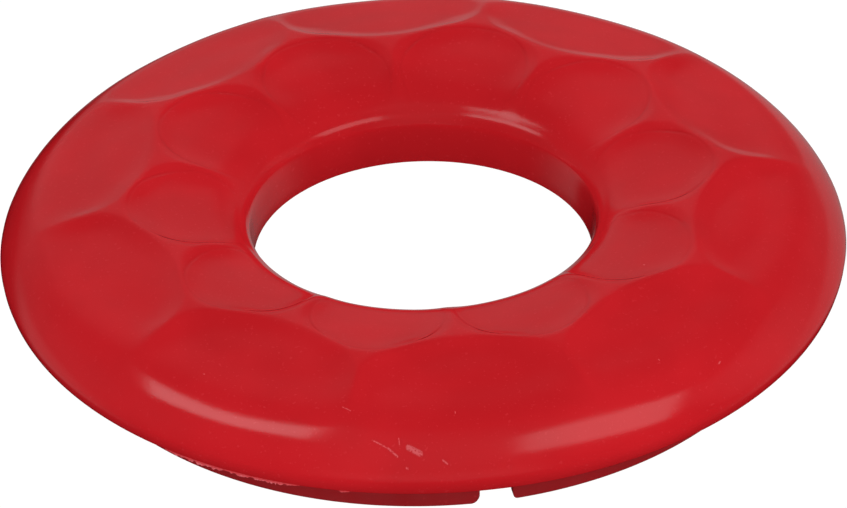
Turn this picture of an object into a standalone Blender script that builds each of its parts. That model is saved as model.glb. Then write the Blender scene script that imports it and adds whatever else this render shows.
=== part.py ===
"""Flying ring: a hollow dimpled shell, closed from below by a base ring that carries the foot.

Metres, +Z up. The origin is the centre of the foot's bottom plane, and the ring's axis is Z.
Five self-tapping screws go up through wells in the base ring into bosses inside the shell.
"""

import math

import bmesh
import bpy
import numpy as np
from mathutils import Matrix, Vector

MM = 0.001

# Driving dimensions, in metres.
RING_R = 100.0 * MM  # widest radius of the shell
FOOT_H = 12.4 * MM  # height of the foot below the shell's rim
WALL = 2.2 * MM  # wall thickness of the shell
GAP = 0.3 * MM  # clearance between neighbouring pieces

# Dimple pattern: a honeycomb of sharp crests round alternate outer and inner dimples. Each crest
# between two outer dimples runs in to a junction, where two straight crests leave it for the
# junctions at the ends of the crests between the inner dimples.
DIMPLE_COUNT = 10
PITCH = 2 * math.pi / DIMPLE_COUNT
RIDGE_ANGLE = math.radians(6.41)  # direction of the first crest between two outer dimples
OUTER_JUNCTION = 0.7325 * RING_R  # radius of a junction on a crest between outer dimples
INNER_JUNCTION = 0.635 * RING_R  # radius of a junction on a crest between inner dimples
INNER_DIMPLE_DEPTH = 1.6 * MM
OUTER_DIMPLE_DEPTH = 1.8 * MM
INNER_FLANK = 3.4 * MM  # distance from a crest in which most of the depth is reached
OUTER_FLANK = 3.6 * MM
FLANK_POWER = 1.5
INNER_CORNER = 7.0 * MM  # rounding of the dimples' corners, seen from above
OUTER_CORNER = 5.0 * MM
INNER_FADE = (0.42 * RING_R, 0.56 * RING_R)  # inner dimples run out towards the lip
OUTER_EDGE_AT_RIDGE = 0.94 * RING_R
OUTER_EDGE_SWELL = 0.03 * RING_R  # the outer dimples reach further out at their middles
OUTER_EDGE_WIDTH = 0.17 * RING_R

# Outer profile of the shell, as fractions of RING_R: radius, and height above the rim. It runs
# from the bottom of the bore wall over the lip, the crest and the shoulder down to the rim.
PROFILE = (
    (0.4006, -0.0165),
    (0.406, 0.070),
    (0.4125, 0.0970),
    (0.4215, 0.1090),
    (0.436, 0.1220),
    (0.451, 0.1352),
    (0.470, 0.1495),
    (0.500, 0.1634),
    (0.550, 0.1793),
    (0.610, 0.1884),
    (0.635, 0.1902),
    (0.680, 0.1912),
    (0.7325, 0.1879),
    (0.800, 0.1755),
    (0.860, 0.1600),
    (0.905, 0.1420),
    (0.938, 0.1170),
    (0.965, 0.0900),
    (0.988, 0.0580),
    (1.000, 0.0280),
    (0.994, 0.0),
)
SHELL_STATIONS = 14 * DIMPLE_COUNT  # an even number, and some fall on the tops of the crests

# Screws and what holds them.
SCREW_COUNT = 5
SCREW_CIRCLE_R = 0.73 * RING_R  # under the meeting points of the ridges
BOSS_R = 3.6 * MM
BOSS_BOTTOM = 18.0 * MM
BOSS_TOP = 29.6 * MM
PILOT_R = 1.6 * MM
PILOT_DEPTH = 8.8 * MM
HEAD_R = 2.9 * MM
HEAD_H = 2.0 * MM
SHANK_R = 1.3 * MM
SHANK_LENGTH = 10.0 * MM
TIP_LENGTH = 1.8 * MM
CROSS_LENGTH = 3.4 * MM
CROSS_WIDTH = 0.8 * MM
CROSS_DEPTH = 1.1 * MM
ROUND_SIDES = 16

# Base ring.
PLATE_BOTTOM = FOOT_H + 0.4 * MM
PLATE_T = 2.0 * MM
PLATE_TOP = PLATE_BOTTOM + PLATE_T
PLATE_INNER_R = 0.4290 * RING_R
PLATE_OUTER_R = 0.9660 * RING_R
LIP_T = 1.6 * MM  # upstanding locating lips at both edges of the plate
LIP_SET_BACK = 0.9 * MM
LIP_TOP = PLATE_TOP + 3.0 * MM
FOOT_OUTER_R = 0.8725 * RING_R
FOOT_T = 2.4 * MM
FOOT_ROUNDING = 0.7 * MM
BASE_STATIONS = 80
WELL_R = 4.9 * MM
WELL_BORE_R = 3.5 * MM
WELL_FLOOR_T = 1.5 * MM
WELL_TOP = BOSS_BOTTOM - GAP
SHANK_HOLE_R = 1.8 * MM

# Notches in the foot.
NOTCH_COUNT = 5
NOTCH_ANGLE = math.radians(280.1)
NOTCH_W = 7.7 * MM
NOTCH_H = 8.6 * MM
NOTCH_ROUNDING = 2.0 * MM  # flare at the foot's bottom edge
NOTCH_TOP_ROUNDING = 1.2 * MM

SHELL_RED = (0.52, 0.012, 0.018, 1.0)
BASE_RED = (0.40, 0.010, 0.014, 1.0)
STEEL = (0.62, 0.62, 0.64, 1.0)


def clear_scene():
    for obj in list(bpy.data.objects):
        bpy.data.objects.remove(obj)


def material(name, colour, roughness, metallic):
    made = bpy.data.materials.new(name)
    made.use_nodes = True
    shader = made.node_tree.nodes["Principled BSDF"]
    shader.inputs["Base Color"].default_value = colour
    shader.inputs["Roughness"].default_value = roughness
    shader.inputs["Metallic"].default_value = metallic
    return made


def object_from(name, mesh_data, looks=None):
    """A new object of a bmesh, with its faces turned outwards."""
    bmesh.ops.recalc_face_normals(mesh_data, faces=mesh_data.faces)
    mesh = bpy.data.meshes.new(name)
    mesh_data.to_mesh(mesh)
    mesh_data.free()
    obj = bpy.data.objects.new(name, mesh)
    bpy.context.collection.objects.link(obj)
    if looks:
        mesh.materials.append(looks)
        mesh.shade_smooth()
        mesh.set_sharp_from_angle(angle=math.radians(35))
    return obj


def helper(name, mesh_data):
    """A cutter or an added shape, which is left out of the model itself."""
    obj = object_from(name, mesh_data)
    obj.hide_render = True
    obj.display_type = "WIRE"
    return obj


def combine(obj, other, operation):
    modifier = obj.modifiers.new(other.name, "BOOLEAN")
    modifier.operation = operation
    modifier.solver = "EXACT"
    modifier.object = other


def smooth_min(a, b, blend):
    share = np.clip(0.5 + 0.5 * (b - a) / blend, 0, 1)
    return b * (1 - share) + a * share - blend * share * (1 - share)


def smooth_step(share):
    share = np.clip(share, 0, 1)
    return share * share * (3 - 2 * share)


def flank(distance, depth, length):
    """Depth at a distance from a crest: it rises quickly from the crest to an almost flat middle."""
    return depth * (1 - np.exp(-((np.maximum(distance, 0) / length) ** FLANK_POWER)))


def past_crest(x, y):
    """Distance outside the straight crest between the junctions at angles 0 and half a pitch."""
    along_x = INNER_JUNCTION * math.cos(PITCH / 2) - OUTER_JUNCTION
    along_y = INNER_JUNCTION * math.sin(PITCH / 2)
    return ((x - OUTER_JUNCTION) * along_y - y * along_x) / math.hypot(along_x, along_y)


def inner_dimple(radius, off_ridge):
    x, y = radius * np.cos(off_ridge), radius * np.sin(off_ridge)
    edge = smooth_min(-past_crest(x, y), -past_crest(x, -y), INNER_CORNER)
    to_neighbour = radius * np.sin(PITCH / 2 - off_ridge)
    edge = smooth_min(edge, to_neighbour, INNER_CORNER)
    start, end = INNER_FADE
    fade = smooth_step((radius - start) / (end - start))
    return fade * flank(edge, INNER_DIMPLE_DEPTH, INNER_FLANK)


def outer_dimple(radius, off_ridge):
    x, y = radius * np.cos(off_ridge), radius * np.sin(off_ridge)
    other_x, other_y = radius * np.cos(PITCH - off_ridge), radius * np.sin(PITCH - off_ridge)
    edge = smooth_min(past_crest(x, y), past_crest(other_x, other_y), OUTER_CORNER)
    edge = smooth_min(edge, y, OUTER_CORNER)
    swell = np.sin(off_ridge / PITCH * math.pi) ** 2
    end = OUTER_EDGE_AT_RIDGE + OUTER_EDGE_SWELL * swell
    fade = smooth_step((end - radius) / OUTER_EDGE_WIDTH)
    return fade * flank(edge, OUTER_DIMPLE_DEPTH, OUTER_FLANK)


def dimple_depth(radius, angle):
    """How far the dimples lower the shell's top at these places."""
    off_ridge = np.abs(np.mod(angle - RIDGE_ANGLE + PITCH / 2, PITCH) - PITCH / 2)
    return inner_dimple(radius, off_ridge) + outer_dimple(radius, off_ridge)


def offset_inwards(curve, distance):
    """The curve moved to the inside of the wall, which lies to its right."""
    along = np.gradient(curve, axis=0)
    along /= np.linalg.norm(along, axis=1)[:, None]
    return curve + distance * np.column_stack([along[:, 1], -along[:, 0]])


def closed_ring(rows_of_points):
    """A bmesh of a ring whose cross-section, at each station, is one closed row of points."""
    mesh_data = bmesh.new()
    rings = [[mesh_data.verts.new(point) for point in row] for row in rows_of_points]
    for ring, following in zip(rings, rings[1:] + rings[:1]):
        for i in range(len(ring)):
            j = (i + 1) % len(ring)
            mesh_data.faces.new((ring[i], ring[j], following[j], following[i]))
    return mesh_data


def turned(outline, stations):
    """A ring turned about Z from a closed outline of radius and height."""
    rows = []
    for angle in np.arange(stations) * 2 * math.pi / stations:
        turn = Matrix.Rotation(angle, 3, "Z")
        rows.append([turn @ Vector((radius, 0, height)) for radius, height in outline])
    return closed_ring(rows)


def lathed(outline, sides):
    """A solid turned about Z from an open outline that starts and ends on the axis."""
    mesh_data = bmesh.new()
    points = [mesh_data.verts.new((radius, 0, height)) for radius, height in outline]
    edges = [mesh_data.edges.new(pair) for pair in zip(points, points[1:])]
    bmesh.ops.spin(
        mesh_data,
        geom=points + edges,
        cent=(0, 0, 0),
        axis=(0, 0, 1),
        angle=2 * math.pi,
        steps=sides,
    )
    bmesh.ops.remove_doubles(mesh_data, verts=mesh_data.verts, dist=0.001 * MM)
    return mesh_data


def moved(mesh_data, place, angle=0.0):
    turn = Matrix.Translation(place) @ Matrix.Rotation(angle, 4, "Z")
    bmesh.ops.transform(mesh_data, matrix=turn, verts=mesh_data.verts)
    return mesh_data


def screw_places():
    """The screws' axes, each under the meeting point of an outer ridge and its neighbours."""
    for i in range(SCREW_COUNT):
        angle = RIDGE_ANGLE + i * 2 * math.pi / SCREW_COUNT
        yield Vector((SCREW_CIRCLE_R * math.cos(angle), SCREW_CIRCLE_R * math.sin(angle), 0))


def joined(parts):
    """One bmesh of several that stand clear of each other."""
    whole = bmesh.new()
    for part in parts:
        mesh = bpy.data.meshes.new("part")
        part.to_mesh(mesh)
        part.free()
        whole.from_mesh(mesh)
        bpy.data.meshes.remove(mesh)
    return whole


def at_each_screw(name, outline):
    """A helper with one turned shape on every screw's axis."""
    return helper(name, joined(moved(lathed(outline, ROUND_SIDES), p) for p in screw_places()))


def dimpled_shell(looks):
    """The hollow upper shell: its outer face, and an inner face a wall's thickness inside it."""
    outer = np.array(PROFILE) * RING_R
    inner = offset_inwards(outer, WALL)
    inner[[0, -1], 1] = outer[[0, -1], 1]  # level bottom edges
    outline = np.vstack([outer, inner[::-1]])
    radii, heights = outline.T
    rows = []
    for angle in RIDGE_ANGLE + np.arange(SHELL_STATIONS) * 2 * math.pi / SHELL_STATIONS:
        lowered = heights + FOOT_H - dimple_depth(radii, angle)
        rows.append(
            np.column_stack([radii * math.cos(angle), radii * math.sin(angle), lowered])
        )
    shell = object_from("dimpled_shell", closed_ring(rows), looks)
    boss = ((0, BOSS_BOTTOM), (BOSS_R, BOSS_BOTTOM), (BOSS_R, BOSS_TOP), (0, BOSS_TOP))
    pilot_bottom = BOSS_BOTTOM - WALL
    pilot_top = BOSS_BOTTOM + PILOT_DEPTH
    pilot = ((0, pilot_bottom), (PILOT_R, pilot_bottom), (PILOT_R, pilot_top), (0, pilot_top))
    combine(shell, at_each_screw("boss_shapes", boss), "UNION")
    combine(shell, at_each_screw("pilot_cutters", pilot), "DIFFERENCE")
    return shell


def arc(centre, radius, start, end, steps):
    """Points of an arc, with its angles in degrees."""
    turns = np.radians(np.linspace(start, end, steps + 1))
    return [
        (centre[0] + radius * math.cos(turn), centre[1] + radius * math.sin(turn))
        for turn in turns
    ]


def base_outline():
    """Cross-section of the base ring: plate, two locating lips and the foot."""
    foot_inner_r = FOOT_OUTER_R - FOOT_T
    rounding = FOOT_ROUNDING
    inner_lip = PLATE_INNER_R + LIP_SET_BACK
    outer_lip = PLATE_OUTER_R - LIP_SET_BACK
    return [
        (PLATE_INNER_R, PLATE_TOP),
        (PLATE_INNER_R, PLATE_BOTTOM),
        (foot_inner_r, PLATE_BOTTOM),
        *arc((foot_inner_r + rounding, rounding), rounding, 180, 270, 3),
        *arc((FOOT_OUTER_R - rounding, rounding), rounding, 270, 360, 3),
        (FOOT_OUTER_R, PLATE_BOTTOM),
        (PLATE_OUTER_R, PLATE_BOTTOM),
        (PLATE_OUTER_R, PLATE_TOP),
        (outer_lip, PLATE_TOP),
        (outer_lip, LIP_TOP),
        (outer_lip - LIP_T, LIP_TOP),
        (outer_lip - LIP_T, PLATE_TOP),
        (inner_lip + LIP_T, PLATE_TOP),
        (inner_lip + LIP_T, LIP_TOP),
        (inner_lip, LIP_TOP),
        (inner_lip, PLATE_TOP),
    ]


def prism(outline, pull):
    """A solid pulled along a vector from a flat outline."""
    mesh_data = bmesh.new()
    face = mesh_data.faces.new([mesh_data.verts.new(point) for point in outline])
    pulled = bmesh.ops.extrude_face_region(mesh_data, geom=[face])
    front = [item for item in pulled["geom"] if isinstance(item, bmesh.types.BMVert)]
    bmesh.ops.translate(mesh_data, vec=pull, verts=front)
    return mesh_data


def notch_cutter(angle):
    """A block for one notch: round at the top, and flared where it meets the bottom edge."""
    half = NOTCH_W / 2
    flare = NOTCH_ROUNDING
    top = NOTCH_TOP_ROUNDING
    sides = arc((half + flare, flare), flare, 250, 180, 4)
    right = [
        (sides[0][0], -flare),
        *sides,
        *arc((half - top, NOTCH_H - top), top, 0, 90, 4),
    ]
    outline = right + [(-across, height) for across, height in reversed(right)]
    start = FOOT_OUTER_R - 2 * FOOT_T
    block = prism([(start, *point) for point in outline], Vector((3 * FOOT_T, 0, 0)))
    return moved(block, Vector((0, 0, 0)), angle)


def base_ring(looks):
    """The lower closing ring with its foot, notches and screw wells."""
    ring = object_from("base_ring", turned(base_outline(), BASE_STATIONS), looks)
    plate_middle = PLATE_BOTTOM + PLATE_T / 2
    well = ((0, plate_middle), (WELL_R, plate_middle), (WELL_R, WELL_TOP), (0, WELL_TOP))
    well_floor = WELL_TOP - WELL_FLOOR_T
    below, above = PLATE_BOTTOM - PLATE_T, WELL_TOP + PLATE_T
    stepped_bore = (
        (0, below),
        (WELL_BORE_R, below),
        (WELL_BORE_R, well_floor),
        (SHANK_HOLE_R, well_floor),
        (SHANK_HOLE_R, above),
        (0, above),
    )
    angles = NOTCH_ANGLE + np.arange(NOTCH_COUNT) * 2 * math.pi / NOTCH_COUNT
    combine(ring, helper("notch_cutters", joined(map(notch_cutter, angles))), "DIFFERENCE")
    combine(ring, at_each_screw("well_shapes", well), "UNION")
    combine(ring, at_each_screw("well_cutters", stepped_bore), "DIFFERENCE")
    return ring


def screw_outline(head_top):
    """Half of a pan-head screw that points up, from the tip down to the bottom of its head."""
    shank_top = head_top + SHANK_LENGTH
    edge = HEAD_H / 2
    return [
        (0, head_top - HEAD_H),
        *arc((HEAD_R - edge, head_top - edge), edge, 270, 360, 4),
        (HEAD_R, head_top),
        (SHANK_R, head_top),
        (SHANK_R, shank_top - TIP_LENGTH),
        (0, shank_top),
    ]


def cross_cutter(head_bottom):
    """A cross-shaped block that cuts the drive recess."""
    long, short = CROSS_LENGTH / 2, CROSS_WIDTH / 2
    outline = []
    for quarter in range(4):
        turn = Matrix.Rotation(quarter * math.pi / 2, 3, "Z")
        for corner in ((long, -short), (long, short), (short, short)):
            outline.append(turn @ Vector((*corner, head_bottom - CROSS_DEPTH)))
    return prism(outline, Vector((0, 0, 2 * CROSS_DEPTH)))


def screw(number, place, looks):
    head_top = WELL_TOP - WELL_FLOOR_T - GAP
    mesh_data = moved(lathed(screw_outline(head_top), ROUND_SIDES), place)
    made = object_from(f"screw_{number}", mesh_data, looks)
    cutter = moved(cross_cutter(head_top - HEAD_H), place)
    combine(made, helper(f"cross_cutter_{number}", cutter), "DIFFERENCE")
    return made


def main():
    clear_scene()
    dimpled_shell(material("shell_plastic", SHELL_RED, 0.28, 0.0))
    base_ring(material("base_plastic", BASE_RED, 0.4, 0.0))
    steel = material("screw_steel", STEEL, 0.35, 1.0)
    for number, place in enumerate(screw_places(), 1):
        screw(number, place, steel)


main()
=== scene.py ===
"""Looks of the flying ring: fine shell, base ring, screws, plastics, studio and camera.

Everything is in metres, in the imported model's frame: +Z up, the ring's axis on Z.
"""

import math

import bmesh
import bpy
import numpy as np
from mathutils import Matrix, Vector


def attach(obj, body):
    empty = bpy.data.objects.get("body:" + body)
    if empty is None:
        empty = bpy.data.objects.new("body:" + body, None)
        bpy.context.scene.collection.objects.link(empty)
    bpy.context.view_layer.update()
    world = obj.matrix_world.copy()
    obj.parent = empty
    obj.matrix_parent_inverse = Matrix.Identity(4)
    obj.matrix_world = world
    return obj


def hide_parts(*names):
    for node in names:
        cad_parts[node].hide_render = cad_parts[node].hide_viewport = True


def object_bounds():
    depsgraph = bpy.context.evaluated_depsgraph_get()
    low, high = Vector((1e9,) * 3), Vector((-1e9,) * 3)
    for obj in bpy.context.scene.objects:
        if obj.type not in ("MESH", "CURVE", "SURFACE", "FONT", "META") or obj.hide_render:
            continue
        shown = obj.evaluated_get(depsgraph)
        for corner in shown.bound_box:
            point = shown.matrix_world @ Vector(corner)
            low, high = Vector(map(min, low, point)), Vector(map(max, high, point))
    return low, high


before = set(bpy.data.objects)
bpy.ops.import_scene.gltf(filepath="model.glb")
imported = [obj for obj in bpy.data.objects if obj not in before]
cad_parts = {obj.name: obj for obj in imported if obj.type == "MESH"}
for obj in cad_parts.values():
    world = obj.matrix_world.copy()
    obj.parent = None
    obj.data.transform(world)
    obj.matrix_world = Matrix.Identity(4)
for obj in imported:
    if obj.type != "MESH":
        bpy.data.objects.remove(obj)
cad_low, cad_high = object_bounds()

MM = 0.001
TURN = 2 * math.pi
MERGE_REACH = 0.001 * MM

# The CAD's stations don't all lie on the axes, so its box is a hair smaller than the ring.
RING_R = 100.0 * MM
FIT = min(1.0, (cad_high.x - cad_low.x) / (2 * RING_R), (cad_high.y - cad_low.y) / (2 * RING_R))
FOOT_H = 12.4 * MM
WALL = 2.2 * MM
GAP = 0.3 * MM

DIMPLE_COUNT = 10
PITCH = TURN / DIMPLE_COUNT
RIDGE_ANGLE = math.radians(6.41)
OUTER_JUNCTION = 0.7325 * RING_R  # where a crest between outer dimples meets two straight ones
INNER_JUNCTION = 0.635 * RING_R  # the same for a crest between inner dimples
INNER_DIMPLE_DEPTH = 1.6 * MM
OUTER_DIMPLE_DEPTH = 1.8 * MM
INNER_FLANK = 3.4 * MM
OUTER_FLANK = 3.6 * MM
FLANK_POWER = 1.5
INNER_CORNER = 7.0 * MM
OUTER_CORNER = 5.0 * MM
INNER_FADE = (0.42 * RING_R, 0.56 * RING_R)
OUTER_EDGE_AT_RIDGE = 0.94 * RING_R
OUTER_EDGE_SWELL = 0.03 * RING_R
OUTER_EDGE_WIDTH = 0.17 * RING_R

# A hairline groove runs round each inner dimple, just inside its crest.
GROOVE_CENTRE = 0.54 * RING_R
GROOVE_R = 0.153 * RING_R
GROOVE_W = 0.75 * MM  # from its middle to where it ends
GROOVE_DEPTH = 0.12 * MM
GROOVE_FAINT = 0.45  # share of the full depth away from the slots
SLOT_TURN = math.radians(62)  # the groove is deepest at this turn from the dimple's outer end
SLOT_SPREAD = math.radians(26)
GROOVE_END = math.radians(150)
GROOVE_FADE = math.radians(40)

# Outer profile as fractions of RING_R: radius, and height above the rim.
PROFILE = (
    (0.4006, -0.0165),
    (0.4075, 0.0720),
    (0.4135, 0.0925),
    (0.4215, 0.1060),
    (0.434, 0.1184),
    (0.4465, 0.1308),
    (0.468, 0.1475),
    (0.500, 0.1637),
    (0.550, 0.1793),
    (0.610, 0.1884),
    (0.680, 0.1912),
    (0.740, 0.1870),
    (0.800, 0.1755),
    (0.860, 0.1600),
    (0.905, 0.1420),
    (0.938, 0.1170),
    (0.965, 0.0900),
    (0.988, 0.0580),
    (1.000, 0.0280),
    (0.994, 0.0),
)
OUTER_STEPS = (3, 3, 3, 3, 3, 3, 3, 8, 10, 10, 10, 6, 4, 3, 3, 3, 3, 3, 2)  # mesh rows to each span
SHELL_STATIONS = 800
EDGE_ROUNDING = 0.35 * MM
SHARP_ANGLE = 35  # degrees between faces from which an edge is shaded as sharp

SCREW_COUNT = 5
SCREW_CIRCLE_R = 0.73 * RING_R
BOSS_R = 3.6 * MM
BOSS_BOTTOM = 18.0 * MM
BOSS_TOP = 29.6 * MM
PILOT_R = 1.6 * MM
PILOT_DEPTH = 8.8 * MM
HEAD_R = 2.9 * MM
HEAD_H = 2.0 * MM
SHANK_R = 1.2 * MM
THREAD_R = 1.5 * MM
THREAD_PITCH = 1.1 * MM
THREAD_ROW = 0.07 * MM  # between rows of the mesh
THREAD_TOOTH = 0.25  # half of a tooth's width, as a share of the pitch
SHANK_LENGTH = 10.0 * MM
TIP_LENGTH = 1.8 * MM
CROSS_LENGTH = 3.4 * MM
CROSS_WIDTH = 0.8 * MM
CROSS_DEPTH = 1.1 * MM
ROUND_SIDES = 48
ARC_STEPS = 10

PLATE_BOTTOM = FOOT_H + 0.4 * MM
PLATE_T = 2.0 * MM
PLATE_TOP = PLATE_BOTTOM + PLATE_T
PLATE_INNER_R = 0.4290 * RING_R
PLATE_OUTER_R = 0.9660 * RING_R
LIP_T = 1.6 * MM
LIP_SET_BACK = 0.9 * MM
LIP_TOP = PLATE_TOP + 3.0 * MM
FOOT_OUTER_R = 0.8725 * RING_R
FOOT_T = 2.4 * MM
FOOT_ROUNDING = 0.7 * MM
BASE_STATIONS = 400
BASE_CORNER_STEPS = 5
WELL_R = 4.9 * MM
WELL_BORE_R = 3.5 * MM
WELL_FLOOR_T = 1.5 * MM
WELL_TOP = BOSS_BOTTOM - GAP
SHANK_HOLE_R = 1.8 * MM

NOTCH_COUNT = 5
NOTCH_ANGLE = math.radians(280.1)
NOTCH_W = 7.7 * MM
NOTCH_H = 8.6 * MM
NOTCH_ROUNDINGS = (1.7 * MM, 2.8 * MM)  # flares at the foot's bottom edge
NOTCH_FLARE_START = 250  # degrees, where a flare leaves the foot's bottom
NOTCH_TOP_ROUNDING = 1.2 * MM
NOTCH_TOP_STEPS = 8

# Flash: the ragged lip of plastic that a mould leaves along the rim's bottom edge.
FLASH_START = math.radians(233)
FLASH_END = math.radians(253)
LOOSE_FLAKE = (math.radians(258.2), math.radians(259.6))  # a flake further along
FLASH_STEP = math.radians(0.08)
FLASH_LONGEST = 0.75 * MM
FLASH_SHORTEST = 0.22  # share of the longest
FLASH_T = 0.12 * MM
FLASH_OUTWARDS = 0.3  # how far it leans out, as a share of its length
FLASH_TIP_RISE = 0.3 * FLASH_T  # how much higher the outer edge of its tip is
FLASH_LEAN = 0.3 * MM  # how far it wanders in and out besides
FLASH_LEAN_STEPS = 9
FLASH_END_STEPS = 30  # it shrinks to nothing over these
STEPS_PER_FLAKE = 4
FLAKE_WIDTHS = (2, 11)  # steps from a flake's middle to its end
FLAKE_LENGTHS = (0.25, 1.0)
FLAKE_SKEWS = (-0.5, 0.5)
FLASH_SEED = 21


# ---------------------------------------------------------------- shapes


def smooth_min(a, b, blend):
    share = np.clip(0.5 + 0.5 * (b - a) / blend, 0, 1)
    return b * (1 - share) + a * share - blend * share * (1 - share)


def smooth_step(share):
    share = np.clip(share, 0, 1)
    return share * share * (3 - 2 * share)


def flank(distance, depth, length):
    """Depth at a distance from a crest: it grows quickly there, to an almost flat middle."""
    return depth * (1 - np.exp(-((np.maximum(distance, 0) / length) ** FLANK_POWER)))


def past_crest(x, y):
    """Distance outside the straight crest between the junctions at angles 0 and half a pitch."""
    along_x = INNER_JUNCTION * math.cos(PITCH / 2) - OUTER_JUNCTION
    along_y = INNER_JUNCTION * math.sin(PITCH / 2)
    return ((x - OUTER_JUNCTION) * along_y - y * along_x) / math.hypot(along_x, along_y)


def inner_dimple(radius, off_ridge):
    x, y = radius * np.cos(off_ridge), radius * np.sin(off_ridge)
    edge = smooth_min(-past_crest(x, y), -past_crest(x, -y), INNER_CORNER)
    to_neighbour = radius * np.sin(PITCH / 2 - off_ridge)
    edge = smooth_min(edge, to_neighbour, INNER_CORNER)
    start, end = INNER_FADE
    fade = smooth_step((radius - start) / (end - start))
    return fade * flank(edge, INNER_DIMPLE_DEPTH, INNER_FLANK)


def outer_dimple(radius, off_ridge):
    x, y = radius * np.cos(off_ridge), radius * np.sin(off_ridge)
    other_x, other_y = radius * np.cos(PITCH - off_ridge), radius * np.sin(PITCH - off_ridge)
    edge = smooth_min(past_crest(x, y), past_crest(other_x, other_y), OUTER_CORNER)
    edge = smooth_min(edge, y, OUTER_CORNER)
    swell = np.sin(off_ridge / PITCH * math.pi) ** 2
    end = OUTER_EDGE_AT_RIDGE + OUTER_EDGE_SWELL * swell
    fade = smooth_step((end - radius) / OUTER_EDGE_WIDTH)
    return fade * flank(edge, OUTER_DIMPLE_DEPTH, OUTER_FLANK)


def dimple_depth(radius, angle):
    off_ridge = np.abs(np.mod(angle - RIDGE_ANGLE + PITCH / 2, PITCH) - PITCH / 2)
    return inner_dimple(radius, off_ridge) + outer_dimple(radius, off_ridge)


def curve_through(points, steps):
    """A smooth curve through every point (Catmull-Rom), with its own number of steps to a span."""
    points = np.asarray(points, float)
    padded = np.vstack([2 * points[0] - points[1], points, 2 * points[-1] - points[-2]])
    found = []
    for i, count in enumerate(steps):
        a, b, c, d = padded[i : i + 4]
        for t in np.arange(count) / count:
            linear = (c - a) * t
            square = (2 * a - 5 * b + 4 * c - d) * t**2
            cube = (3 * b - a - 3 * c + d) * t**3
            found.append(b + 0.5 * (linear + square + cube))
    return np.array([*found, points[-1]])


def offset_inwards(curve, distance):
    """The curve moved to the inside of the wall, which lies to its right."""
    along = np.gradient(curve, axis=0)
    along /= np.linalg.norm(along, axis=1)[:, None]
    return curve + distance * np.column_stack([along[:, 1], -along[:, 0]])


def rounded(outline, reaches, steps=3):
    """The closed outline, with each corner replaced by a curve that reaches along its sides."""
    outline = np.asarray(outline, float)
    points = []
    for i, (corner, reach) in enumerate(zip(outline, reaches)):
        if not reach:
            points.append(corner)
            continue
        before, after = outline[i - 1] - corner, outline[(i + 1) % len(outline)] - corner
        start = corner + before * reach / np.linalg.norm(before)
        end = corner + after * reach / np.linalg.norm(after)
        for t in np.linspace(0, 1, steps + 1):
            points.append((1 - t) ** 2 * start + 2 * t * (1 - t) * corner + t * t * end)
    return np.array(points)


def shade(mesh):
    mesh.shade_smooth()
    mesh.set_sharp_from_angle(angle=math.radians(SHARP_ANGLE))


def object_from(name, mesh_data):
    """An object made of a bmesh, which is used up."""
    bmesh.ops.recalc_face_normals(mesh_data, faces=mesh_data.faces)
    mesh = bpy.data.meshes.new(name)
    mesh_data.to_mesh(mesh)
    mesh_data.free()
    shade(mesh)
    obj = bpy.data.objects.new(name, mesh)
    bpy.context.scene.collection.objects.link(obj)
    return obj


def grid(rings, close_rows=True, close_rings=True):
    """A bmesh of rings of points, each joined to the next.

    close_rows joins each ring's last point to its first, and close_rings the last ring to the
    first.
    """
    count, size = rings.shape[:2]
    index = np.arange(count * size).reshape(count, size)
    if close_rings:
        index = np.vstack([index, index[:1]])
    if close_rows:
        index = np.hstack([index, index[:, :1]])
    corners = [index[:-1, :-1], index[:-1, 1:], index[1:, 1:], index[1:, :-1]]
    faces = np.stack(corners, axis=-1).reshape(-1, 4)
    mesh = bpy.data.meshes.new("grid")
    mesh.from_pydata(rings.reshape(-1, 3).tolist(), [], faces.tolist())
    mesh_data = bmesh.new()
    mesh_data.from_mesh(mesh)
    bpy.data.meshes.remove(mesh)
    return mesh_data


def around(radii, heights, angle):
    return np.column_stack([radii * math.cos(angle), radii * math.sin(angle), heights])


def turned(outline, stations):
    """A ring turned about Z from a closed outline of radius and height."""
    radii, heights = np.asarray(outline, float).T
    angles = np.arange(stations) * TURN / stations
    return grid(np.array([around(radii, heights, angle) for angle in angles]))


def lathed(outline, sides, radius_at=None):
    """A solid turned about Z from an open outline that starts and ends on the axis.

    radius_at, if given, changes the radii by angle and height.
    """
    radii, heights = np.asarray(outline, float).T
    rings = []
    for angle in np.arange(sides) * TURN / sides:
        turned_radii = radius_at(radii, heights, angle) if radius_at else radii
        rings.append(around(turned_radii, heights, angle))
    mesh_data = grid(np.array(rings), close_rows=False)
    bmesh.ops.remove_doubles(mesh_data, verts=mesh_data.verts, dist=MERGE_REACH)
    return mesh_data


def moved(mesh_data, place, angle=0.0):
    turn = Matrix.Translation(place) @ Matrix.Rotation(angle, 4, "Z")
    bmesh.ops.transform(mesh_data, matrix=turn, verts=mesh_data.verts)
    return mesh_data


def joined(parts):
    """One bmesh of several."""
    whole = bmesh.new()
    for part in parts:
        mesh = bpy.data.meshes.new("part")
        part.to_mesh(mesh)
        part.free()
        whole.from_mesh(mesh)
        bpy.data.meshes.remove(mesh)
    return whole


def combine(obj, mesh_data, operation):
    """Adds a shape to obj or cuts it away, at once and for good."""
    other = object_from("other", mesh_data)
    modifier = obj.modifiers.new("combine", "BOOLEAN")
    modifier.operation = operation
    modifier.solver = "MANIFOLD"
    modifier.object = other
    whole, old = obj.evaluated_get(bpy.context.evaluated_depsgraph_get()), obj.data
    obj.data = bpy.data.meshes.new_from_object(whole)
    obj.modifiers.clear()
    bpy.data.meshes.remove(old)
    bpy.data.objects.remove(other)
    shade(obj.data)


def screw_places():
    for i in range(SCREW_COUNT):
        angle = RIDGE_ANGLE + i * TURN / SCREW_COUNT
        yield Vector((SCREW_CIRCLE_R * math.cos(angle), SCREW_CIRCLE_R * math.sin(angle), 0))


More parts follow.
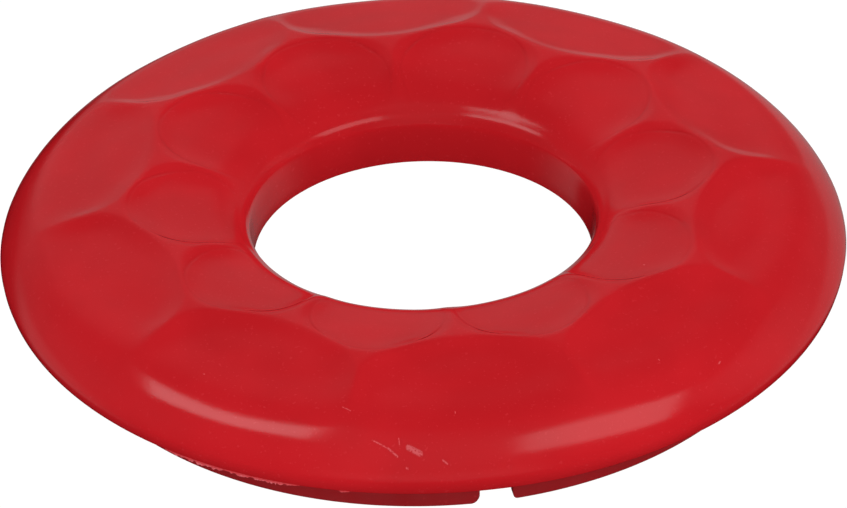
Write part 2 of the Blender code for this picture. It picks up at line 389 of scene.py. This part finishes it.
def at_each_screw(outline):
    return joined(moved(lathed(outline, ROUND_SIDES), place) for place in screw_places())


def ready(obj, slot_name, *nodes):
    """Gives a piece its body and hides the CAD nodes that it stands for."""
    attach(obj, "root")
    if nodes:
        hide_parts(*nodes)
    return obj


def shell_outline():
    """Outer face from the bore's bottom to the rim's, then the inner face a wall inside it."""
    profile = np.array(PROFILE) * RING_R
    outer = curve_through(profile, OUTER_STEPS)
    inner = offset_inwards(profile, WALL)
    inner[[0, -1], 1] = outer[[0, -1], 1]
    reaches = np.zeros(len(outer) + len(inner))
    reaches[[0, len(outer) - 1, len(outer), -1]] = EDGE_ROUNDING
    return rounded(np.vstack([outer, inner[::-1]]), reaches)


def make_shell():
    """The hollow upper shell with its dimples, and the bosses under its top."""
    radii, heights = shell_outline().T
    heights = heights + FOOT_H
    angles = RIDGE_ANGLE + np.arange(SHELL_STATIONS) * TURN / SHELL_STATIONS
    lowered = np.array([heights - dimple_depth(radii, angle) for angle in angles])
    fit_up = min(1.0, cad_high.z / lowered.max())
    rings = [around(radii * FIT, row * fit_up, angle) for row, angle in zip(lowered, angles)]
    shell = object_from("shell_fine", grid(np.array(rings)))
    boss = ((0, BOSS_BOTTOM), (BOSS_R, BOSS_BOTTOM), (BOSS_R, BOSS_TOP), (0, BOSS_TOP))
    combine(shell, at_each_screw(boss), "UNION")
    below, above = BOSS_BOTTOM - WALL, BOSS_BOTTOM + PILOT_DEPTH
    pilot = ((0, below), (PILOT_R, below), (PILOT_R, above), (0, above))
    combine(shell, at_each_screw(pilot), "DIFFERENCE")
    return ready(shell, "shell_plastic", "dimpled_shell")


def base_outline():
    """Cross-section of the base ring, with how far each corner is rounded."""
    foot_inner_r = FOOT_OUTER_R - FOOT_T
    inner_lip = PLATE_INNER_R + LIP_SET_BACK
    outer_lip = PLATE_OUTER_R - LIP_SET_BACK
    edge = EDGE_ROUNDING
    corners = (
        (PLATE_INNER_R, PLATE_TOP, edge),
        (PLATE_INNER_R, PLATE_BOTTOM, edge),
        (foot_inner_r, PLATE_BOTTOM, edge),
        (foot_inner_r, 0, FOOT_ROUNDING),
        (FOOT_OUTER_R, 0, FOOT_ROUNDING),
        (FOOT_OUTER_R, PLATE_BOTTOM, edge),
        (PLATE_OUTER_R, PLATE_BOTTOM, edge),
        (PLATE_OUTER_R, PLATE_TOP, edge),
        (outer_lip, PLATE_TOP, edge),
        (outer_lip, LIP_TOP, edge),
        (outer_lip - LIP_T, LIP_TOP, edge),
        (outer_lip - LIP_T, PLATE_TOP, edge),
        (inner_lip + LIP_T, PLATE_TOP, edge),
        (inner_lip + LIP_T, LIP_TOP, edge),
        (inner_lip, LIP_TOP, edge),
        (inner_lip, PLATE_TOP, edge),
    )
    points = [(radius, height) for radius, height, _ in corners]
    return rounded(points, [reach for *_, reach in corners], BASE_CORNER_STEPS)


def arc(centre, radius, start, end, steps):
    """Points of an arc, with its angles in degrees."""
    turns = np.radians(np.linspace(start, end, steps + 1))
    x, y = centre
    return [(x + radius * math.cos(turn), y + radius * math.sin(turn)) for turn in turns]


def prism(outline, pull):
    """A solid pulled along a vector from a flat outline."""
    mesh_data = bmesh.new()
    face = mesh_data.faces.new([mesh_data.verts.new(point) for point in outline])
    pulled = bmesh.ops.extrude_face_region(mesh_data, geom=[face])
    front = [item for item in pulled["geom"] if isinstance(item, bmesh.types.BMVert)]
    bmesh.ops.translate(mesh_data, vec=pull, verts=front)
    return mesh_data


def notch_side(flare):
    """One side of a notch's outline, from below the foot up to the middle of the notch's top."""
    half, top = NOTCH_W / 2, NOTCH_TOP_ROUNDING
    sides = arc((half + flare, flare), flare, NOTCH_FLARE_START, 180, ARC_STEPS)
    corner = arc((half - top, NOTCH_H - top), top, 0, 90, NOTCH_TOP_STEPS)
    return [(sides[0][0], -flare), *sides, *corner]


def notch_cutter(angle):
    one, other = (notch_side(flare) for flare in NOTCH_ROUNDINGS)
    outline = one + [(-across, height) for across, height in reversed(other)]
    start = FOOT_OUTER_R - 2 * FOOT_T
    block = prism([(start, *point) for point in outline], Vector((3 * FOOT_T, 0, 0)))
    return moved(block, Vector((0, 0, 0)), angle)


def make_base():
    """The lower closing ring with its foot, notches and screw wells."""
    ring = object_from("base_ring_fine", turned(base_outline(), BASE_STATIONS))
    angles = NOTCH_ANGLE + np.arange(NOTCH_COUNT) * TURN / NOTCH_COUNT
    combine(ring, joined(map(notch_cutter, angles)), "DIFFERENCE")
    middle = PLATE_BOTTOM + PLATE_T / 2
    well = ((0, middle), (WELL_R, middle), (WELL_R, WELL_TOP), (0, WELL_TOP))
    combine(ring, at_each_screw(well), "UNION")
    well_floor = WELL_TOP - WELL_FLOOR_T
    below, above = PLATE_BOTTOM - PLATE_T, WELL_TOP + PLATE_T
    stepped_bore = (
        (0, below),
        (WELL_BORE_R, below),
        (WELL_BORE_R, well_floor),
        (SHANK_HOLE_R, well_floor),
        (SHANK_HOLE_R, above),
        (0, above),
    )
    combine(ring, at_each_screw(stepped_bore), "DIFFERENCE")
    return ready(ring, "base_plastic", "base_ring")


def screw_outline(head_top):
    """Half of a pan-head screw that points up, from the bottom of its head to its tip."""
    edge = HEAD_H / 2
    tip = head_top + SHANK_LENGTH
    rows = np.arange(head_top + THREAD_ROW, tip - THREAD_ROW / 2, THREAD_ROW)
    narrowing = np.clip((tip - rows) / TIP_LENGTH, 0, 1)
    return [
        (0, head_top - HEAD_H),
        *arc((HEAD_R - edge, head_top - edge), edge, 270, 360, ARC_STEPS),
        (HEAD_R, head_top),
        (SHANK_R, head_top),
        *zip(SHANK_R * narrowing, rows),
        (0, tip),
    ]


def threaded(head_top):
    """Radii of a screw with a helical thread on its shank."""
    tip = head_top + SHANK_LENGTH

    def radius_at(radii, heights, angle):
        phase = np.mod(heights / THREAD_PITCH - angle / TURN, 1)
        tooth = np.clip(1 - np.abs(phase - 0.5) / THREAD_TOOTH, 0, 1)
        run_in = np.clip((heights - head_top) / THREAD_PITCH, 0, 1)
        run_out = np.clip((tip - heights) / TIP_LENGTH, 0, 1)
        return radii + (THREAD_R - SHANK_R) * tooth * run_in * run_out * (radii > 0)

    return radius_at


def cross_cutter(head_bottom):
    """A cross-shaped block that cuts the drive recess."""
    long, short = CROSS_LENGTH / 2, CROSS_WIDTH / 2
    outline = []
    for quarter in range(4):
        turn = Matrix.Rotation(quarter * math.pi / 2, 3, "Z")
        for corner in ((long, -short), (long, short), (short, short)):
            outline.append(turn @ Vector((*corner, head_bottom - CROSS_DEPTH)))
    return prism(outline, Vector((0, 0, 2 * CROSS_DEPTH)))


def make_screw(number, place):
    head_top = WELL_TOP - WELL_FLOOR_T - GAP
    solid = lathed(screw_outline(head_top), ROUND_SIDES, threaded(head_top))
    made = object_from(f"screw_{number}_fine", moved(solid, place))
    combine(made, moved(cross_cutter(head_top - HEAD_H), place, number), "DIFFERENCE")
    return ready(made, "screw_steel", f"screw_{number}")


def flash_lengths(count, rng):
    """How far the flash hangs at each step: a ragged edge made of flakes of all sizes."""
    lengths = np.full(count, FLASH_SHORTEST)
    steps = np.arange(count)
    for _ in range(count // STEPS_PER_FLAKE):
        middle, width = rng.uniform(0, count), rng.uniform(*FLAKE_WIDTHS)
        flake, skew = rng.uniform(*FLAKE_LENGTHS), rng.uniform(*FLAKE_SKEWS)
        across = (steps - middle) / width
        lengths = np.maximum(lengths, flake * np.clip(1 - np.abs(across) + skew * across, 0, 1))
    to_end = np.minimum(steps, count - 1 - steps)
    return lengths * np.clip(to_end / min(FLASH_END_STEPS, count / 2), 0, 1)


def flash_strip(start, end, rng):
    """A ragged strip from one angle to another, closed at both ends."""
    angles = np.arange(start, end, FLASH_STEP)
    lengths = FLASH_LONGEST * flash_lengths(len(angles), rng)
    even = np.ones(FLASH_LEAN_STEPS) / FLASH_LEAN_STEPS
    leans = FLASH_LEAN * np.convolve(rng.uniform(-1, 1, len(angles)), even, "same")
    root_r = PROFILE[-1][0] * RING_R - EDGE_ROUNDING
    rings = []
    for angle, length, lean in zip(angles, lengths, leans):
        tip_r = root_r + EDGE_ROUNDING + FLASH_OUTWARDS * length + lean
        radii = np.array([root_r - FLASH_T, tip_r - FLASH_T, tip_r, root_r + EDGE_ROUNDING])
        drops = np.array([0, length, length - FLASH_TIP_RISE, -EDGE_ROUNDING])
        rings.append(around(radii * FIT, FOOT_H - drops, angle))
    mesh_data = grid(np.array(rings), close_rings=False)
    bmesh.ops.holes_fill(mesh_data, edges=mesh_data.edges)
    return mesh_data


def make_flash():
    """The ragged strip under part of the rim, and a loose flake beside it."""
    rng = np.random.default_rng(FLASH_SEED)
    strips = [flash_strip(*ends, rng) for ends in ((FLASH_START, FLASH_END), LOOSE_FLAKE)]
    return ready(object_from("rim_flash", joined(strips)), "shell_plastic")


# ---------------------------------------------------------------- materials

SHELL_RED = (0.56, 0.0115, 0.017, 1)
SHELL_RED_DEEP = (0.50, 0.0085, 0.013, 1)
SPECK_RED = (0.62, 0.035, 0.045, 1)
SCUFF_RED = (0.72, 0.13, 0.15, 1)
# Painted shadow: a darker red blended into the shell's colour along the hairline groove.
GROOVE_PAINTED_SHADOW_RED = (0.25, 0.004, 0.006, 1)
# The base ring's reds are painted darker than the shell's, as shade under the rim's overhang; the
# deep one varies in random patches.
BASE_SHADED_RED = (0.36, 0.0078, 0.0115, 1)
BASE_SHADED_RED_DEEP = (0.32, 0.0065, 0.0095, 1)
FLASH_RED = (0.74, 0.15, 0.17, 1)
STEEL = (0.62, 0.62, 0.64, 1)
STEEL_YELLOWED = (0.56, 0.53, 0.44, 1)

PATCH_EDGES = (0.3, 0.7)  # noise values at which a soft patch starts and is full

SHELL_CLOUD = 30 * MM  # how wide the patches of each noise are
SHELL_GRAIN = 0.45 * MM
SHELL_GRAIN_DEPTH = 0.014 * MM
SHELL_WAVE = 5 * MM
SHELL_WAVE_DEPTH = 0.012 * MM
SHELL_ROUGHNESS = (0.11, 0.15)
FLECK = 0.8 * MM
FLECK_EDGES = (0.66, 0.74)
FLECK_SHARE = 0.35  # how far each mark turns the plastic to its own colour
# How strongly the painted shadow darkens the groove's colour.
GROOVE_PAINTED_SHADOW_SHARE = 0.12
SCUFF_SHARE = 0.5
SCUFF_BREAK = 0.5 * MM
SCUFF_BREAK_EDGES = (0.35, 0.55)
SCUFF_CORE = 0.3  # share of a scuff's width that it covers fully
SCUFF_ROUGHNESS = 0.35  # what a scuff adds

BASE_CLOUD = 18 * MM
BASE_GRAIN = 0.4 * MM
BASE_GRAIN_DEPTH = 0.006 * MM
BASE_ROUGHNESS = (0.28, 0.42)
BASE_ROUGHNESS_PATCH = 4 * MM
BASE_ROUGHNESS_EDGES = (0.25, 0.75)
BASE_BEVEL = 0.25 * MM
DUST = 1.1 * MM
DUST_EDGES = (0.64, 0.74)
DUST_SHARE = 0.25

FLASH_PALE_FROM = 0.35 * MM  # it is palest from this far below its root
FLASH_ROOT_SHARE = 0.25  # and this share as pale at its root
FLASH_TEAR = 0.6 * MM
FLASH_TEAR_EDGES = (0.35, 0.65)
FLASH_TEAR_SHARES = (0.4, 1.0)
FLASH_ROUGHNESS = (0.35, 0.6)
FLASH_ROUGHNESS_PATCH = 0.5 * MM
FLASH_GRAIN = 0.2 * MM
FLASH_GRAIN_DEPTH = 0.02 * MM

STEEL_PATCH = 1.5 * MM
STEEL_PATCH_EDGES = (0.4, 0.65)
STEEL_SCRATCH = 0.3 * MM
STEEL_SCRATCH_STRETCH = (1, 1, 8)
STEEL_SCRATCH_DEPTH = 0.008 * MM
STEEL_ROUGHNESS = (0.22, 0.42)

PAPER_GREY = (0.02, 0.02, 0.02, 1)  # dark, so that the lights don't show on the paper
PAPER_FIBRE = 3 * MM
PAPER_GLOW = (1.0, 1.04)
PAPER_ROUGHNESS = (0.75, 0.9)

# Scuffs on the front of the shell, as (angle, radius) of both ends in degrees and mm, and width.
SCUFFS = (
    ((262.4, 94.4), (264.6, 95.6), 0.16),
    ((264.6, 95.6), (265.9, 96.8), 0.22),
    ((266.0, 93.9), (266.2, 95.5), 0.16),
    ((267.3, 95.4), (269.0, 96.4), 0.65),
    ((271.9, 97.4), (272.5, 97.9), 0.18),
    ((257.4, 88.0), (258.8, 88.9), 0.16),
    ((267.1, 98.3), (267.3, 98.4), 0.20),
    ((234.4, 87.0), (234.6, 87.0), 0.20),
    ((246.1, 90.8), (246.3, 90.9), 0.18),
    ((315.0, 94.3), (315.4, 94.2), 0.22),
    ((274.1, 88.0), (274.1, 88.4), 0.16),
    ((307.3, 87.2), (307.3, 87.6), 0.16),
    ((325.4, 61.7), (325.5, 62.0), 0.18),
)


def principled(name):
    """A new material, its node tree and its shader."""
    made = bpy.data.materials.new(name)
    made.use_nodes = True
    return made, made.node_tree, made.node_tree.nodes["Principled BSDF"]


def add(tree, kind, inputs, **settings):
    """A new node, with its inputs set or linked by name or number; returns its first output."""
    made = tree.nodes.new("ShaderNode" + kind)
    for name, value in settings.items():
        setattr(made, name, value)
    for name, value in inputs.items():
        if isinstance(value, bpy.types.NodeSocket):
            tree.links.new(value, made.inputs[name])
        else:
            made.inputs[name].default_value = value
    return made.outputs[0]


def maths(tree, operation, *values):
    return add(tree, "Math", dict(enumerate(values)), operation=operation)


def vectors(tree, operation, *values):
    return add(tree, "VectorMath", dict(enumerate(values)), operation=operation)


def facing(tree, a, b):
    """The dot product of two vectors, which is the cosine of the angle between directions."""
    made = add(tree, "VectorMath", {0: a, 1: b}, operation="DOT_PRODUCT")
    return made.node.outputs["Value"]


def ramp(tree, value, start, end, low=0.0, high=1.0):
    """The value turned smoothly from start..end into low..high."""
    inputs = {"Value": value, "From Min": start, "From Max": end, "To Min": low, "To Max": high}
    return add(tree, "MapRange", inputs, interpolation_type="SMOOTHSTEP")


def blended(tree, share, a, b):
    made = add(tree, "Mix", {0: share, 6: a, 7: b}, data_type="RGBA")
    return made.node.outputs[2]


def object_place(tree):
    """The place in the piece's own axes, which are the frame's."""
    return tree.nodes.new("ShaderNodeTexCoord").outputs["Object"]


def noise(tree, place, cell, detail=2.0):
    """Noise whose patches are about a cell across, in metres."""
    return add(tree, "TexNoise", {"Vector": place, "Scale": 1 / cell, "Detail": detail})


def bump(tree, height, distance, normal=None):
    """A bump whose full height is distance, in metres."""
    inputs = {"Height": height, "Distance": distance, "Strength": 1.0}
    if normal:
        inputs["Normal"] = normal
    return add(tree, "Bump", inputs)


def groove_mask(tree, place):
    """1 in the middle of the hairline groove round each inner dimple, 0 away from it."""
    flat = vectors(tree, "MULTIPLY", place, (1, 1, 0))
    apart = add(tree, "SeparateXYZ", {0: flat}).node
    angle = maths(tree, "ARCTAN2", apart.outputs["Y"], apart.outputs["X"])
    angle = maths(tree, "SUBTRACT", angle, RIDGE_ANGLE)
    off_ridge = maths(tree, "PINGPONG", angle, PITCH / 2)
    radius = add(tree, "VectorMath", {0: flat}, operation="LENGTH").node.outputs["Value"]
    x = maths(tree, "MULTIPLY", radius, maths(tree, "COSINE", off_ridge))
    x = maths(tree, "SUBTRACT", x, GROOVE_CENTRE)
    y = maths(tree, "MULTIPLY", radius, maths(tree, "SINE", off_ridge))
    turn = maths(tree, "ARCTAN2", y, x)
    offset = add(tree, "CombineXYZ", {0: x, 1: y})
    reach = add(tree, "VectorMath", {0: offset}, operation="LENGTH").node.outputs["Value"]
    across = maths(tree, "ABSOLUTE", maths(tree, "SUBTRACT", reach, GROOVE_R))
    line = ramp(tree, across, 0.0, GROOVE_W, 1.0, 0.0)
    off_slot = maths(tree, "ABSOLUTE", maths(tree, "SUBTRACT", turn, SLOT_TURN))
    slot = ramp(tree, off_slot, 0.0, SLOT_SPREAD, 1.0, GROOVE_FAINT)
    end = ramp(tree, turn, GROOVE_END - GROOVE_FADE, GROOVE_END, 1.0, 0.0)
    return maths(tree, "MULTIPLY", maths(tree, "MULTIPLY", line, slot), end)


def scuff_mask(tree, place):
    """1 on the scuffs and specks, broken up by fine noise."""
    flat = vectors(tree, "MULTIPLY", place, (1, 1, 0))
    total = 0.0
    for start, end, width in SCUFFS:
        first, last = (
            Matrix.Rotation(math.radians(angle), 3, "Z") @ Vector((radius * MM, 0, 0))
            for angle, radius in (start, end)
        )
        along = last - first
        offset = vectors(tree, "SUBTRACT", flat, first)
        share = facing(tree, offset, along / along.length_squared)
        share = maths(tree, "MAXIMUM", share, 0.0)
        share = maths(tree, "MINIMUM", share, 1.0)
        nearest = add(tree, "VectorMath", {0: along, "Scale": share}, operation="SCALE")
        rest = vectors(tree, "SUBTRACT", offset, nearest)
        distance = add(tree, "VectorMath", {0: rest}, operation="LENGTH").node.outputs["Value"]
        mark = ramp(tree, distance, SCUFF_CORE * width * MM, width * MM, 1.0, 0.0)
        total = maths(tree, "MAXIMUM", total, mark)
    broken = ramp(tree, noise(tree, place, SCUFF_BREAK, 3.0), *SCUFF_BREAK_EDGES)
    return maths(tree, "MULTIPLY", total, broken)


def shell_plastic():
    """Glossy red plastic: clouded colour, fine speckle, slight waviness, a groove with painted
    shadow in it, and scuffs.
    """
    made, tree, shader = principled("shell_plastic_fine")
    place = object_place(tree)
    clouds = noise(tree, place, SHELL_CLOUD, 3.0)
    grain = noise(tree, place, SHELL_GRAIN)
    flecks = ramp(tree, noise(tree, place, FLECK, 1.0), *FLECK_EDGES)
    groove_line = groove_mask(tree, place)
    scuffs = scuff_mask(tree, place)
    colour = blended(tree, ramp(tree, clouds, *PATCH_EDGES), SHELL_RED, SHELL_RED_DEEP)
    colour = blended(tree, maths(tree, "MULTIPLY", flecks, FLECK_SHARE), colour, SPECK_RED)
    # Painted shadow along the groove, on top of its real bump.
    colour = blended(tree, maths(tree, "MULTIPLY", groove_line, GROOVE_PAINTED_SHADOW_SHARE), colour, GROOVE_PAINTED_SHADOW_RED)
    colour = blended(tree, maths(tree, "MULTIPLY", scuffs, SCUFF_SHARE), colour, SCUFF_RED)
    tree.links.new(colour, shader.inputs["Base Color"])
    roughness = ramp(tree, clouds, *PATCH_EDGES, *SHELL_ROUGHNESS)
    roughness = maths(tree, "ADD", roughness, maths(tree, "MULTIPLY", scuffs, SCUFF_ROUGHNESS))
    tree.links.new(roughness, shader.inputs["Roughness"])
    waves = bump(tree, noise(tree, place, SHELL_WAVE, 1.0), SHELL_WAVE_DEPTH)
    fine = bump(tree, grain, SHELL_GRAIN_DEPTH, waves)
    cut = bump(tree, maths(tree, "SUBTRACT", 1.0, groove_line), GROOVE_DEPTH, fine)
    tree.links.new(cut, shader.inputs["Normal"])
    return made


def base_plastic():
    """Satin red plastic, painted darker than the shell as shade under the rim, with a moulded
    texture and softened edges.
    """
    made, tree, shader = principled("base_plastic_fine")
    place = object_place(tree)
    clouds = noise(tree, place, BASE_CLOUD, 3.0)
    grain = noise(tree, place, BASE_GRAIN, 3.0)
    # Painted shade: the darker reds stand in for the shade under the rim.
    colour = blended(tree, ramp(tree, clouds, *PATCH_EDGES), BASE_SHADED_RED, BASE_SHADED_RED_DEEP)
    dust = ramp(tree, noise(tree, place, DUST), *DUST_EDGES, 0.0, DUST_SHARE)
    colour = blended(tree, dust, colour, SPECK_RED)
    tree.links.new(colour, shader.inputs["Base Color"])
    patches = noise(tree, place, BASE_ROUGHNESS_PATCH, 4.0)
    roughness = ramp(tree, patches, *BASE_ROUGHNESS_EDGES, *BASE_ROUGHNESS)
    tree.links.new(roughness, shader.inputs["Roughness"])
    edges = add(tree, "Bevel", {"Radius": BASE_BEVEL}, samples=4)
    tree.links.new(bump(tree, grain, BASE_GRAIN_DEPTH, edges), shader.inputs["Normal"])
    return made


def flash_plastic():
    """Thin torn plastic, which looks paler where it is stretched."""
    made, tree, shader = principled("flash_plastic")
    place = object_place(tree)
    height = add(tree, "SeparateXYZ", {0: place}).node.outputs["Z"]
    thin = ramp(tree, height, FOOT_H - FLASH_PALE_FROM, FOOT_H, 1.0, FLASH_ROOT_SHARE)
    tears = noise(tree, place, FLASH_TEAR, 3.0)
    torn = ramp(tree, tears, *FLASH_TEAR_EDGES, *FLASH_TEAR_SHARES)
    colour = blended(tree, maths(tree, "MULTIPLY", thin, torn), SHELL_RED, FLASH_RED)
    tree.links.new(colour, shader.inputs["Base Color"])
    patches = noise(tree, place, FLASH_ROUGHNESS_PATCH)
    roughness = ramp(tree, patches, *PATCH_EDGES, *FLASH_ROUGHNESS)
    tree.links.new(roughness, shader.inputs["Roughness"])
    grain = bump(tree, noise(tree, place, FLASH_GRAIN), FLASH_GRAIN_DEPTH)
    tree.links.new(grain, shader.inputs["Normal"])
    return made


def screw_steel():
    """Zinc-plated steel: yellowed patches and drawn scratches."""
    made, tree, shader = principled("screw_steel_fine")
    shader.inputs["Metallic"].default_value = 1.0
    place = object_place(tree)
    patches = ramp(tree, noise(tree, place, STEEL_PATCH, 3.0), *STEEL_PATCH_EDGES)
    tree.links.new(blended(tree, patches, STEEL, STEEL_YELLOWED), shader.inputs["Base Color"])
    stretched = vectors(tree, "MULTIPLY", place, STEEL_SCRATCH_STRETCH)
    scratches = noise(tree, stretched, STEEL_SCRATCH, 3.0)
    roughness = ramp(tree, scratches, *PATCH_EDGES, *STEEL_ROUGHNESS)
    tree.links.new(roughness, shader.inputs["Roughness"])
    tree.links.new(bump(tree, scratches, STEEL_SCRATCH_DEPTH), shader.inputs["Normal"])
    return made


# ---------------------------------------------------------------- studio

DIFFUSE_WORLD = 0.42  # how strongly the pale room lights a surface from above the horizon
DIFFUSE_BELOW = 0.40
BELOW_TO_ABOVE = (-0.15, 0.25)  # heights of the directions between which it changes
BACKDROP = 1.0  # the white that a camera sees above the paper
GLOSSY_TABLE = 0.26  # what gloss sees of the bright table behind the ring
GLOSSY_HORIZON = 0.10  # of the room low above it
GLOSSY_HIGH_SHARE = 0.28  # and what is left of that high up
TABLE_FROM, TABLE_FULL = -0.62, -0.42  # heights of the directions in which the table shows
TABLE_FRONT, TABLE_BACK = -0.3, 0.3  # it is bright only behind the ring
FRONT_FROM, FRONT_FULL = 0.25, 0.60  # in front, the room is lit only high up
ROOM_FROM, ROOM_FULL = -0.05, 0.09  # from the table's brightness to the room's
HIGH_FROM, HIGH_FULL = 0.15, 0.60  # and to the dimmer room high up
DARK_DIRECTION = Vector((-0.5, 0.8, -0.33)).normalized()  # a dark thing stands at the left
DARK_EDGES = (0.87, 0.96)  # cosines of the angles at which it starts and is full
WINDOW_DIRECTION = Vector((-0.28, 0.83, 0.48)).normalized()  # a brighter part of the room
WINDOW_GLOW = 0.10
WINDOW_EDGES = (0.80, 0.99)  # cosines of the angles at which it starts and is full
LIT_PLACE = Vector((0, 0, 0.02))
FLOOR_REACH = 3.0  # from the floor's middle to its sides


def area_light(name, place, along, size, power, glossy=True):
    """A rectangular light that faces the ring, with its long side along a direction."""
    data = bpy.data.lights.new(name, "AREA")
    data.shape = "RECTANGLE"
    data.size, data.size_y = size
    data.energy = power
    lamp = bpy.data.objects.new(name, data)
    bpy.context.scene.collection.objects.link(lamp)
    back = (Vector(place) - LIT_PLACE).normalized()
    side = (Vector(along) - back * back.dot(Vector(along))).normalized()
    turn = Matrix((side, back.cross(side), back)).transposed()
    lamp.matrix_world = Matrix.Translation(place) @ turn.to_4x4()
    lamp.visible_camera = False
    lamp.visible_glossy = glossy


def make_world():
    """A pale room over a bright table, dimmer for gloss than for diffuse light."""
    world = bpy.data.worlds.new("studio")
    bpy.context.scene.world = world
    world.use_nodes = True
    tree = world.node_tree
    direction = tree.nodes.new("ShaderNodeTexCoord").outputs["Generated"]
    apart = add(tree, "SeparateXYZ", {0: direction}).node
    height = apart.outputs["Z"]
    even = ramp(tree, height, *BELOW_TO_ABOVE, DIFFUSE_BELOW, DIFFUSE_WORLD)
    high_front = ramp(tree, height, FRONT_FROM, FRONT_FULL)
    behind = ramp(tree, apart.outputs["Y"], TABLE_FRONT, TABLE_BACK)
    lit = maths(tree, "MAXIMUM", high_front, behind)
    lit = maths(tree, "MULTIPLY", lit, ramp(tree, height, TABLE_FROM, TABLE_FULL))
    room = ramp(tree, height, ROOM_FROM, ROOM_FULL, GLOSSY_TABLE, GLOSSY_HORIZON)
    high = ramp(tree, height, HIGH_FROM, HIGH_FULL, 1.0, GLOSSY_HIGH_SHARE)
    glossy = maths(tree, "MULTIPLY", lit, maths(tree, "MULTIPLY", room, high))
    dark = ramp(tree, facing(tree, direction, DARK_DIRECTION), *DARK_EDGES, 1.0, 0.0)
    glossy = maths(tree, "MULTIPLY", glossy, dark)
    window = ramp(tree, facing(tree, direction, WINDOW_DIRECTION), *WINDOW_EDGES, 0.0, WINDOW_GLOW)
    glossy = maths(tree, "ADD", glossy, window)
    rays = tree.nodes.new("ShaderNodeLightPath").outputs
    strength = even
    for light, kind in ((glossy, "Is Glossy Ray"), (BACKDROP, "Is Camera Ray")):
        difference = maths(tree, "SUBTRACT", light, even)
        difference = maths(tree, "MULTIPLY", difference, rays[kind])
        strength = maths(tree, "ADD", strength, difference)
    background = tree.nodes["Background"]
    background.inputs["Color"].default_value = (1, 1, 1, 1)
    tree.links.new(strength, background.inputs["Strength"])


def make_floor():
    """A sheet of paper that glows white under the camera and throws nothing back at the ring."""
    mesh_data = bmesh.new()
    bmesh.ops.create_grid(mesh_data, x_segments=1, y_segments=1, size=FLOOR_REACH)
    floor = object_from("floor", mesh_data)
    made, tree, shader = principled("floor_paper")
    shader.inputs["Base Color"].default_value = PAPER_GREY
    shader.inputs["Emission Color"].default_value = (1, 1, 1, 1)
    fibres = noise(tree, object_place(tree), PAPER_FIBRE, 3.0)
    glow = ramp(tree, fibres, *PATCH_EDGES, *PAPER_GLOW)
    tree.links.new(glow, shader.inputs["Emission Strength"])
    roughness = ramp(tree, fibres, *PATCH_EDGES, *PAPER_ROUGHNESS)
    tree.links.new(roughness, shader.inputs["Roughness"])
    floor.data.materials.append(made)
    floor.visible_diffuse = False
    floor.visible_glossy = False


CAMERA_DISTANCE = 16.34 * RING_R
CAMERA_ELEVATION = math.radians(33.87)
CAMERA_ROLL = math.radians(1.415)
SENSOR = 36.0
LENS = 293.1
CLIP = (0.01, 20)
AIM = Vector((0.0004 * RING_R, 0, FOOT_H - 0.0161 * RING_R))


def make_camera():
    data = bpy.data.cameras.new("camera")
    data.sensor_width = SENSOR
    data.lens = LENS
    data.clip_start, data.clip_end = CLIP
    camera = bpy.data.objects.new("camera", data)
    bpy.context.scene.collection.objects.link(camera)
    back = Vector((0, -math.cos(CAMERA_ELEVATION), math.sin(CAMERA_ELEVATION)))
    turn = (-back).to_track_quat("-Z", "Y").to_matrix() @ Matrix.Rotation(-CAMERA_ROLL, 3, "Z")
    camera.matrix_world = Matrix.Translation(AIM + back * CAMERA_DISTANCE) @ turn.to_4x4()
    bpy.context.scene.camera = camera


def make_lights():
    """Two strips that show in the gloss, and soft fills; sizes in metres and powers in watts."""
    area_light("left_strip", (-0.69, -0.315, 0.85), (0.505, -0.489, 0.228), (0.74, 0.25), 1.25)
    area_light("right_strip", (0.728, -0.605, 0.763), (0.609, 0.422, -0.311), (0.80, 0.44), 1.45)
    area_light("front_fill", (0, -1.2, 0.22), (1, 0, 0), (1.2, 0.4), 4.8, glossy=False)
    area_light("high_fill", (0, -0.9, 0.9), (1, 0, 0), (1.0, 1.0), 3.6, glossy=False)
    area_light("right_fill", (1.2, 0.1, 0.35), (0, 1, 0), (0.8, 0.6), 6.0, glossy=False)
    area_light("left_fill", (-1.2, -0.2, 0.30), (0, 1, 0), (0.8, 0.6), 1.5, glossy=False)
    area_light("back_fill", (-0.2, 1.2, 0.5), (1, 0, 0), (1.2, 0.8), 10.5, glossy=False)


def make_pieces():
    pieces = {make_shell(): shell_plastic(), make_base(): base_plastic()}
    pieces[make_flash()] = flash_plastic()
    steel = screw_steel()
    for number, place in enumerate(screw_places(), 1):
        pieces[make_screw(number, place)] = steel
    for piece, looks in pieces.items():
        piece.data.materials.clear()
        piece.data.materials.append(looks)


make_pieces()
make_floor()
make_world()
make_lights()
make_camera()
bpy.context.scene.view_settings.view_transform = "Standard"
